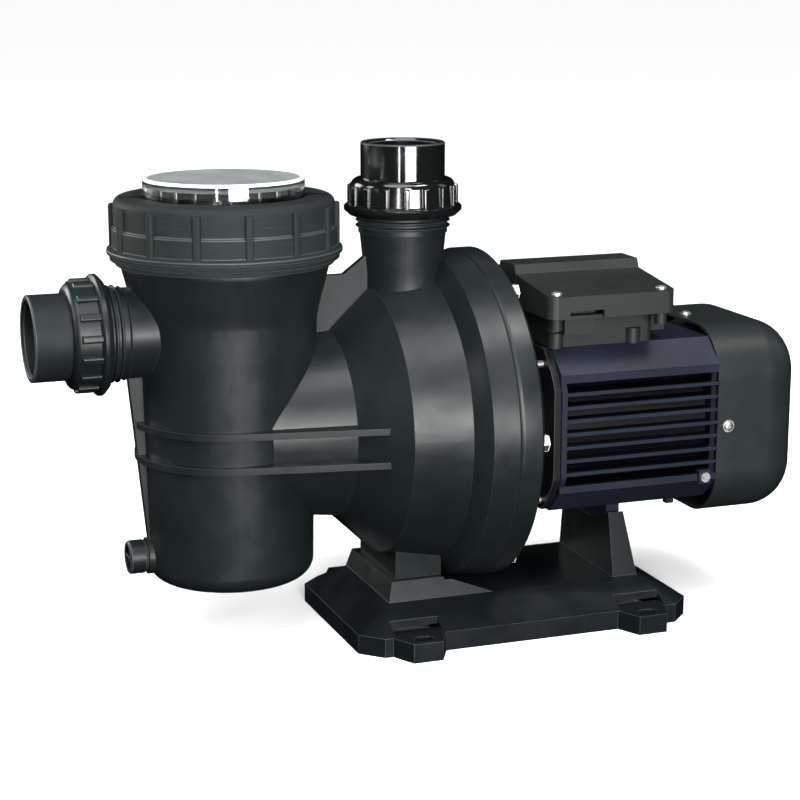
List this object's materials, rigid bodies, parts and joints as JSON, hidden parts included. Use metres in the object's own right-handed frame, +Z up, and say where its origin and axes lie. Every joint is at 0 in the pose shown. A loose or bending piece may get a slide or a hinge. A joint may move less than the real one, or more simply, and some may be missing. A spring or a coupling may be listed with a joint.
{
  "type": "pool pump",
  "caption": "Self-priming pool pump: strainer pot with clear screwed lid, round volute, two pipe unions, finned motor with fan cover, slotted base.",
  "frame": {"origin": "centre of the four base slots, on the floor", "axes": "+X along the shaft from the suction union towards the fan, +Z up along the discharge port, -Y towards the side with the earth lug"},
  "size_m": [0.5645, 0.2408, 0.3545],
  "materials": {
    "black_moulding": "satin glass-filled plastic",
    "ring_moulding": "brushed matte plastic",
    "gloss_moulding": "glossy plastic",
    "box_moulding": "fine matte plastic",
    "fan_cover_moulding": "fine matte plastic",
    "base_moulding": "satin plastic",
    "navy_paint": "semi-gloss paint",
    "black_paint": "satin paint",
    "zinc": "zinc plated",
    "clear": "clear polycarbonate",
    "seal_rubber": "matte rubber",
    "basket_moulding": "natural plastic",
    "impeller_moulding": "glass-filled plastic",
    "steel": "ground steel",
    "core_steel": "laminated steel",
    "copper": "enamelled copper wire",
    "seal_ceramic": "ground ceramic",
    "seal_carbon": "carbon in a rubber bellows",
    "light_moulding": "insulating plastic"
  },
  "bodies": {
    "housing": {"base_plate": "base_moulding", "body_ribs": "black_moulding", "cable_gland": "box_moulding", "capacitor": "light_moulding", "casing_oring": "seal_rubber", "cover_bolts": "zinc", "diffuser": "impeller_moulding", "discharge_port": "black_moulding", "earth_screw": "zinc", "fan_cover": "fan_cover_moulding", "fan_cover_screws": "zinc", "foot_screws": "zinc", "front_bearing_outer": "steel", "front_end_shield": "black_paint", "gland_locknut": "box_moulding", "gland_nut": "box_moulding", "gland_seal": "seal_rubber", "motor_frame": "navy_paint", "pump_casing": "black_moulding", "rear_bearing_outer": "steel", "rear_cover": "black_moulding", "rear_end_shield": "black_paint", "seal_seat": "seal_ceramic", "stator_core": "core_steel", "stator_windings": "copper", "strainer_pot": "black_moulding", "terminal_block": "light_moulding", "terminal_box_base": "box_moulding", "terminal_box_lid": "box_moulding", "terminal_lid_gasket": "seal_rubber", "terminal_lid_screws": "zinc", "terminal_screws": "zinc", "tie_rods": "zinc"},
    "rotor": {"shaft": "steel", "impeller": "impeller_moulding", "rotor_core": "core_steel", "fan": "impeller_moulding", "seal_head": "seal_carbon", "seal_spring": "steel", "front_bearing_inner": "steel", "rear_bearing_inner": "steel"},
    "front_balls": {"front_bearing_balls": "steel"},
    "rear_balls": {"rear_bearing_balls": "steel"},
    "basket": {"strainer_basket": "basket_moulding"},
    "handle": {"basket_handle": "basket_moulding"},
    "lid_seal": {"lid_oring": "seal_rubber"},
    "lid": {"strainer_lid": "clear"},
    "ring": {"lid_ring": "ring_moulding"},
    "suction_seal": {"suction_oring": "seal_rubber"},
    "suction_pipe_end": {"suction_tail": "black_moulding"},
    "suction_union_nut": {"suction_nut": "black_moulding"},
    "discharge_seal": {"discharge_oring": "seal_rubber"},
    "discharge_pipe_end": {"discharge_tail": "gloss_moulding"},
    "discharge_union_nut": {"discharge_nut": "gloss_moulding"},
    "drain_seal": {"drain_oring": "seal_rubber"},
    "plug": {"drain_plug": "black_moulding"}
  },
  "joints": [
    {"name": "shaft_spin", "type": "hinge", "parent": "housing", "child": "rotor", "pos_m": [0, 0, 0.146], "axis": [1, 0, 0], "continuous": true},
    {"name": "front_balls_spin", "type": "hinge", "parent": "housing", "child": "front_balls", "pos_m": [0, 0, 0.146], "axis": [1, 0, 0], "continuous": true},
    {"name": "rear_balls_spin", "type": "hinge", "parent": "housing", "child": "rear_balls", "pos_m": [0, 0, 0.146], "axis": [1, 0, 0], "continuous": true},
    {"name": "basket_lift", "type": "slide", "parent": "housing", "child": "basket", "axis": [0, 0, 1], "range_m": [0, 0.25]},
    {"name": "handle_swing", "type": "hinge", "parent": "basket", "child": "handle", "pos_m": [-0.2033, 0, 0.2862], "axis": [1, 0, 0], "range_deg": [0, 55]},
    {"name": "lid_lift", "type": "slide", "parent": "basket", "child": "lid_seal", "axis": [0, 0, 1], "range_m": [0, 0.06]},
    {"name": "ring_rise", "type": "slide", "parent": "lid_seal", "child": "lid", "axis": [0, 0, 1], "range_m": [0, 0.0121]},
    {"name": "ring_turn", "type": "hinge", "parent": "lid", "child": "ring", "pos_m": [-0.2033, 0, 0.3], "axis": [0, 0, 1], "range_deg": [0, 540]},
    {"name": "suction_pull", "type": "slide", "parent": "housing", "child": "suction_seal", "axis": [-1, 0, 0], "range_m": [0, 0.03]},
    {"name": "suction_unscrew", "type": "slide", "parent": "suction_seal", "child": "suction_pipe_end", "axis": [-1, 0, 0], "range_m": [0, 0.0141]},
    {"name": "suction_nut_turn", "type": "hinge", "parent": "suction_pipe_end", "child": "suction_union_nut", "pos_m": [-0.3, 0, 0.2297], "axis": [-1, 0, 0], "range_deg": [0, 1260]},
    {"name": "discharge_pull", "type": "slide", "parent": "housing", "child": "discharge_seal", "axis": [0, 0, 1], "range_m": [0, 0.03]},
    {"name": "discharge_unscrew", "type": "slide", "parent": "discharge_seal", "child": "discharge_pipe_end", "axis": [0, 0, 1], "range_m": [0, 0.0141]},
    {"name": "discharge_nut_turn", "type": "hinge", "parent": "discharge_pipe_end", "child": "discharge_union_nut", "pos_m": [-0.072, 0, 0.31], "axis": [0, 0, 1], "range_deg": [0, 1260]},
    {"name": "drain_out", "type": "slide", "parent": "housing", "child": "drain_seal", "axis": [-1, 0, 0], "range_m": [0, 0.0121]},
    {"name": "drain_turn", "type": "hinge", "parent": "drain_seal", "child": "plug", "pos_m": [-0.27, 0, 0.069], "axis": [-1, 0, 0], "range_deg": [0, 1440]}
  ],
  "couplings": [
    {"joint": "front_balls_spin", "follows": "shaft_spin", "ratio": 0.381},
    {"joint": "rear_balls_spin", "follows": "shaft_spin", "ratio": 0.381},
    {"joint": "ring_rise", "follows": "ring_turn", "m_per_rad": 0.0012732},
    {"joint": "suction_unscrew", "follows": "suction_nut_turn", "m_per_rad": 0.00063662},
    {"joint": "discharge_unscrew", "follows": "discharge_nut_turn", "m_per_rad": 0.00063662},
    {"joint": "drain_out", "follows": "drain_turn", "m_per_rad": 0.00047746}
  ]
}
